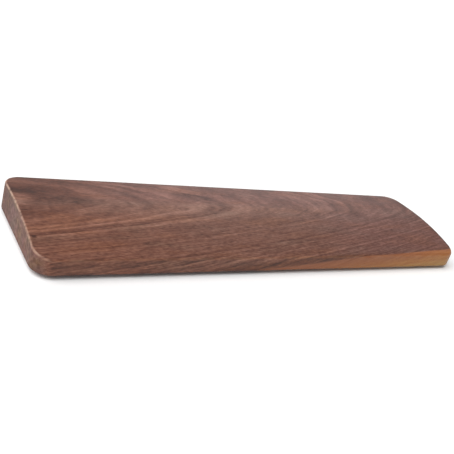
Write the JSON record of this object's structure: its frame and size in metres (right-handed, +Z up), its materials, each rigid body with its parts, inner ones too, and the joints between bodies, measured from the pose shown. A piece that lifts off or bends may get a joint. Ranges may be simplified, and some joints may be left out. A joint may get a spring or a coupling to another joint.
{
  "type": "wrist rest",
  "caption": "Solid wooden wrist rest for a keyboard: a long slab, thick along the keyboard side, with an arched top that falls to a thin palm side, on stick-on rubber feet.",
  "frame": {"origin": "centre of the footprint, on the desk that the feet stand on", "axes": "+X along the length, to the user's right; +Y towards the keyboard; +Z up"},
  "size_m": [0.31, 0.08, 0.0194],
  "materials": {
    "walnut": "sanded and oiled, low sheen",
    "rubber": "matt moulded rubber",
    "adhesive": "thin film of adhesive, matt"
  },
  "bodies": {
    "root": {"slab": "walnut", "foot_front_left": "rubber", "foot_front_middle": "rubber", "foot_front_right": "rubber", "foot_back_left": "rubber", "foot_back_middle": "rubber", "foot_back_right": "rubber", "adhesive_front_left": "adhesive", "adhesive_front_middle": "adhesive", "adhesive_front_right": "adhesive", "adhesive_back_left": "adhesive", "adhesive_back_middle": "adhesive", "adhesive_back_right": "adhesive"}
  },
  "joints": []
}
